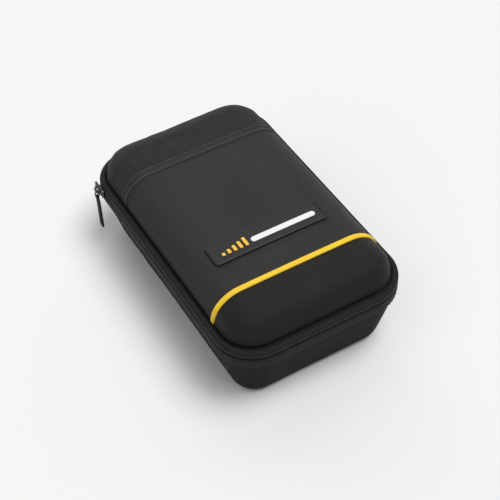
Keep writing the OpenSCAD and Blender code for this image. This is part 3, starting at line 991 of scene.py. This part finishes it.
def make_marks():
    """Five plain rising bars and one plain long bar."""
    low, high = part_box("badge_bars")
    count, width, shortest = 5, 2.2 * MM, 2.4 * MM
    pitch = (high.x - low.x - width) / (count - 1)
    growth = (high.y - low.y - shortest) / (count - 1)
    bars = []
    for k in range(count):
        length = shortest + growth * k
        x, y = low.x + width / 2 + pitch * k, low.y + length / 2
        bars.append(raised_mark(x, y, width, length, width / 3))
    piece("badge_signal_bars", merged(bars), "mark_yellow", "lid", "badge_bars")
    x, y, _ = box_middle("badge_name_bar")
    width, length, _ = box_size("badge_name_bar")
    mark = raised_mark(x, y, width, length, length / 2 - 0.05 * MM)
    piece("badge_plain_bar", mark, "mark_white", "lid", "badge_name_bar")


# -------- zip
def upper_tape_line():
    """Outer face of the upper tape, rolled over as a bead, as (inset, z)."""
    line = ((0, 0.45), (0, 1.6), (0, 3.0), (0.4, 4.1), (1.3, 4.7), (2.5, 4.85), (3.5, 4.6),
            (4.4, 3.7), (5.6, 3.2), (7.0, 3.8), (8.3, 4.25), (9.6, 4.3))
    return smooth_line([(inset * MM, ZIP_Z + rise * MM) for inset, rise in line], 3)


def lower_tape_line():
    """Outer face of the lower tape, as (inset, z)."""
    foot_inset = wall_inset(0, FOOT_Z) - 0.85 * MM
    points = [(foot_inset, FOOT_Z), (foot_inset * 0.45, FOOT_Z + 1.4 * MM),
              (0.02 * MM, BASE_RIM + 0.5 * MM), (0, ZIP_Z - 4 * MM),
              (0, ZIP_Z - 2 * MM), (0, ZIP_Z - 0.45 * MM)]
    return smooth_line(points, 3)


def make_tapes():
    """Both zip tapes, the fabric hinge in one piece at the far end, and their sewing."""
    run = Outline(HALF_W, HALF_L, CORNER_R, corners=zip_run(HINGE_TURN))
    end = Outline(HALF_W, HALF_L, CORNER_R, corners=hinge_run(HINGE_TURN))
    upper, lower = upper_tape_line(), lower_tape_line()
    thick = 0.65 * MM
    for name, line, body, node in (("zip_tape_top", upper, "lid", "zip_tape_upper"),
                                   ("zip_tape_bottom", lower, "base", "zip_tape_lower")):
        piece(name, band(run, strip_profile(line, thick)), "zip_tape", body, node)
    line = lower[:-1] + [(0, ZIP_Z + k * 0.3 * MM) for k in range(-1, 2)] + upper[1:]
    hinge = piece("hinge_fabric", band(end, strip_profile(line, thick)), "zip_tape", None,
                  "hinge_strip_base", "hinge_strip_lid")
    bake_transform(hinge)
    for name, height, body in (("tape_stitch_top", 2.6 * MM, "lid"),
                               ("tape_stitch_bottom", -2.6 * MM, "base")):
        for suffix, outline in (("", run), ("_far", end)):
            path = ring_path(outline, 0, ZIP_Z + height, sunk=0.08 * MM)
            stitches(name + suffix, path, body, "zip_tape", thick=0.26 * MM)
    z = FOOT_Z + 1.0 * MM
    path = ring_path(CASE, wall_inset(0, z) - 0.95 * MM, z)
    stitches("tape_stitch_foot", path, "base", "zip_tape")


def winding(points, outs, first):
    """Path of a wire wound round a line, from its first angle on."""
    turn, per = 1.5 * MM, 8
    half_in, half_up = 0.8 * MM, 0.92 * MM
    run = run_lengths(points)
    count = int(run[-1] / turn * per)
    path = []
    for k in range(count + 1):
        at = run[-1] * k / count
        p, o = at_length(at, run, points), at_length(at, run, outs)
        a = 2 * pi * k / per + first
        path.append(p + o * half_in * cos(a) + np.array((0, 0, half_up * sin(a))))
    return path


def crimp(point, out, step):
    """Metal stop just past one end of a coil."""
    out = Vector(out)
    along = Vector((-out.y, out.x, 0)) * step
    turn = Matrix((out, along, UP)).transposed().to_4x4()
    size = (1.7 * MM, 2.0 * MM, 2.3 * MM)
    return block(size, 0.35 * MM, Vector(point) + along * 1.5 * MM, turn)


def make_coils():
    """Nylon coils behind the tapes, each one wound wire, with a crimp at each end."""
    inset, apart, wire = 1.75 * MM, 1.7 * MM, 0.28 * MM
    run = Outline(HALF_W, HALF_L, CORNER_R, corners=zip_run(COIL_TURN))
    outs = run.outward(1, 0)
    for name, half, sign, body in (("coil_top", "upper", 1, "lid"), ("coil_bottom", "lower", -1, "base")):
        points = run.ring(inset, ZIP_Z + sign * apart)
        path = winding(points, outs, pi if sign > 0 else 0)
        piece(name, tube(path, wire, 5), "zip_coil", body, "zip_coil_" + half)
        stops = [crimp(points[0], outs[0], -1), crimp(points[-1], outs[-1], 1)]
        piece(name + "_stops", merged(stops), "slider_metal", body, "zip_stops_" + half)


def slider_plate(length, top, low, scale, thick, bevel, x, y):
    """Shield-shaped plate of the slider; it is upright and wider towards +y."""
    h = length / 2
    shape = [(h, -low * 0.6), (h, top * 0.6), (h - 2 * MM, top), (0, top * 0.86),
             (1.5 * MM - h, top * 0.74), (-h, top * 0.5), (-h, -low * 0.5),
             (1.5 * MM - h, -low * 0.74), (0, -low * 0.86), (h - 2 * MM, -low)]
    loop = rounded_loop([(a * scale, b * scale) for a, b in shape], 1.1 * MM)
    return plate([loop], thick, bevel, upright(x, y))


def make_slider():
    """Front and back plate, joined by a web through the slot between the tapes."""
    face, first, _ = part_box("slider_body")[0]
    length, back_l = box_size("slider_body")[1], 11 * MM
    middle, back_y = box_middle("slider_body")[1], first + back_l / 2
    half = 4.2 * MM
    front = slider_plate(length, half, half, 1.0, 1.1 * MM, 0.35 * MM, face + 0.55 * MM, middle)
    pad = slider_plate(length, half, half, 0.76, 0.5 * MM, 0.2 * MM, face - 0.02 * MM, middle)
    back_x, web_from = -HALF_W + 3.75 * MM, face + 0.5 * MM
    back = slider_plate(back_l, 3.3 * MM, half, 1.0, 0.9 * MM, 0.25 * MM, back_x, back_y)
    web = block((back_x - web_from, 2.3 * MM, 0.6 * MM), 0.15 * MM,
                ((web_from + back_x) / 2, back_y + back_l / 2 - 1.25 * MM, ZIP_Z))
    flange = block((1.6 * MM, 5.4 * MM, 0.8 * MM), 0.2 * MM,
                   (-HALF_W + 2.65 * MM, back_y, ZIP_Z - 3.8 * MM))
    casting = merged([front, pad, back, web, flange])
    piece("slider_casting", casting, "slider_metal", "slider", "slider_body")


def make_bail():
    """Low wire bridge that holds the link on the slider."""
    face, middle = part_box("slider_body")[0].x, box_middle("slider_body")[1]
    wire = 0.63 * MM
    reach = face - PULL_X
    half = box_size("slider_bridge")[1] / 2 - wire
    end = arc(face, half - reach, reach, 90, 180, 10)
    end[0] = (face + 0.1 * MM, half)
    path = [(x, middle - y, ZIP_Z) for x, y in end] + [(x, middle + y, ZIP_Z) for x, y in end[::-1]]
    feet = [block((0.4 * MM, 1.9 * MM, 1.9 * MM), 0.18 * MM,
                  (face - 0.2 * MM, middle + s * half, ZIP_Z)) for s in (-1, 1)]
    piece("slider_bail", merged([tube(path, wire, 12)] + feet), "slider_metal", "slider",
          "slider_bridge")


def make_link():
    low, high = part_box("pull_link")
    half = (high.x - low.x) / 2 - LINK_WIRE
    ends = ((0, high.z - LINK_WIRE - half), (180, low.z + LINK_WIRE + half))
    path = [(x, PULL_Y, z) for first, end_z in ends
            for x, z in arc(PULL_X, end_z, half, first, first + 180, 14)]
    wire = tube(path, LINK_WIRE, 10, closed=True, hint=(0, 1, 0))
    piece("pull_wire", wire, "slider_metal", "link", "pull_link")


def make_tab():
    """Flat rubber tab with an eye for the link and grip ribs near its end."""
    _, wide, _ = box_size("pull_tab")
    half_w, neck, eye = wide / 2, -4.2 * MM, 1.9 * MM
    end_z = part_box("pull_tab")[0].z - TAB_PIVOT_Z
    outline = arc(0, 0, eye, -20, 200, 16) + [(-half_w, neck)]
    outline += arc(0, end_z + half_w, half_w, 180, 360, 12) + [(half_w, neck)]
    hole = arc(0, 0, 0.8 * MM, 345, 0, 23)
    parts = [plate([outline, hole], 1.15 * MM, 0.3 * MM, upright(PULL_X, PULL_Y, TAB_PIVOT_Z))]
    rib = (0.5 * MM, half_w * 2 - 1.4 * MM, 0.8 * MM)
    count, first, pitch = 7, end_z + 4.0 * MM, 1.9 * MM
    for side in (-1, 1):
        for k in range(count):
            at = (PULL_X + side * 0.5 * MM, PULL_Y, TAB_PIVOT_Z + (first + k * pitch))
            parts.append(block(rib, 0.22 * MM, at))
    piece("pull_tab_rubber", merged(parts), "pull_rubber", "tab", "pull_tab")


# -------- base
def make_base():
    outer = base_rings(CASE, 0, BASE_RIM, 18, 12, relief=base_relief)
    inner = base_rings(CASE, WALL, BASE_RIM, 6, 8)
    piece("base_shell_fabric", loft(CASE, outer + inner[::-1]), "base_fabric", "base", "base_shell")
    outer = base_rings(COARSE, WALL + 0.1 * MM, BASE_RIM)
    inner = base_rings(COARSE, WALL + 0.7 * MM, BASE_RIM)
    piece("base_inner_lining", loft(COARSE, outer + inner[::-1]), "lining", "base", "base_lining")

    off = WALL + 0.9 * MM
    z = BASE_RIM
    line = [(RIM_INSET + 0.15 * MM, z + 0.55 * MM), (RIM_INSET + 2.4 * MM, z + 0.7 * MM)]
    # Depth at which the wall is taken, inset from it and rise over the rim, in mm
    for depth, inset, rise in ((0, -1.2, 0.7), (0, 0.1, 0.5), (0.7, 0.5, -0.6),
                               (1.8, 0.55, -1.8), (3, 0.5, -3)):
        line.append((wall_inset(off, z - depth * MM) + inset * MM, z + rise * MM))
    at = z - 2.0 * MM
    edge_binding("base", smooth_line(line), 0.55 * MM, wall_inset(off, at) + 0.62 * MM, at)


def well_cutter(x, y, width, length):
    """Body of a well: rounded where it meets its floor and flared at the foam's top."""
    well = Outline(width / 2, length / 2, 6 * MM, 1.5 * MM, centre=(x, y))
    flare, floor_z, floor_r = 1.3 * MM, 9 * MM, 2 * MM
    steps = [(floor_r + (floor_r * 1.2) * k, floor_z) for k in (2, 1)]
    steps += arc(floor_r, floor_z + floor_r, floor_r, 270, 180, 3)
    steps += [(0, FOAM_TOP - flare)] + arc(-flare, FOAM_TOP - flare, flare, 25, 75, 2)
    steps += [(-flare, FOAM_TOP + 0.3 * MM), (-flare, FOAM_TOP + 3 * MM)]
    return add_object("scratch", loft(well, [well.ring(inset, z) for inset, z in steps]))


def make_foam():
    """Foam block with rounded wells cut into it."""
    off, ease = WALL + 0.95 * MM, 0.9 * MM
    rings = base_rings(COARSE, off, FOAM_TOP, 8, 8, ease, 1)
    rings.append(COARSE.ring(wall_inset(off, FOAM_TOP) + ease + 6 * MM, FOAM_TOP))
    solid = add_object("scratch", loft(COARSE, rings))
    cutters = [well_cutter(*(value * MM for value in well)) for well in WELLS]
    for cutter in cutters:
        hollow = solid.modifiers.new("well", "BOOLEAN")
        hollow.object = cutter
        hollow.operation = "DIFFERENCE"
        hollow.solver = "EXACT"
    mesh = final_mesh(solid)
    for cutter in cutters:
        bpy.data.objects.remove(cutter)
    insert = piece("foam_block_insert", mesh, "foam", "base", "foam_insert")
    normals = insert.modifiers.new("normals", "WEIGHTED_NORMAL")
    normals.keep_sharp = True


def strap_profile(half):
    """Closed profile of the ribbed strap as (y, height), thinner at its two edges."""
    ribs = 11
    across = [-half + 2 * half * k / (ribs * 6) for k in range(ribs * 6 + 1)]
    top = []
    for y in across:
        edge = max(0, 1 - ((half - abs(y)) / (1.0 * MM))) ** 2
        rib = cos(2 * pi * ribs * (y + half) / (2 * half))
        top.append((y, 0.92 * MM - 0.12 * MM * rib - 0.4 * MM * edge))
    return top + [(y, 0.05 * MM) for y in reversed(across)]


def box_stitch_path(x0, x1, y0, y1, z):
    """Path round a rectangle and across its diagonal, for stitches."""
    corners = [(x0, y0), (x1, y0), (x1, y1), (x0, y1), (x0, y0), (x1, y1)]
    path = []
    for (ax, ay), (bx, by) in zip(corners, corners[1:]):
        n = max(2, round(hypot(bx - ax, by - ay) / MM))
        path += [(Vector((ax + (bx - ax) * k / n, ay + (by - ay) * k / n, z)), UP) for k in range(n)]
    return path


def make_strap():
    """Elastic strap over the phone well, ribbed along its length, sewn at both ends."""
    low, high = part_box("elastic_strap")
    cy, half = box_middle("elastic_strap")[1], box_size("elastic_strap")[1] / 2
    n = 52
    rings = []
    for y, h in strap_profile(half):
        line = []
        for k in range(n + 1):
            x = low.x + (high.x - low.x) * k / n
            span = clamp(min(x - low.x, high.x - x) / (10 * MM))
            lift = 0.25 * MM * span * span * (3 - 2 * span)
            line.append((x, cy + y, low.z + h + lift))
        rings.append(np.array(line))
    piece("elastic_strap_band", sweep(rings[::-1]), "elastic", "base", "elastic_strap")
    for name, x0, x1 in (("left", low.x + 1.5 * MM, low.x + 8 * MM),
                         ("right", high.x - 8 * MM, high.x - 1.5 * MM)):
        path = box_stitch_path(x0, x1, cy - half + 2 * MM, cy + half - 2 * MM, low.z + 1.05 * MM)
        stitches(f"strap_stitch_{name}", path, "base", "elastic", 2.4 * MM, 1.7 * MM, 0.3 * MM)


# -------- build
make_camera()
make_studio()
make_lid_skin()
make_lid_inside()
pocket = make_pocket()
hem = make_hem()
make_badge()
make_marks()
make_tapes()
make_coils()
make_slider()
make_bail()
make_link()
make_tab()
make_base()
make_foam()
make_strap()
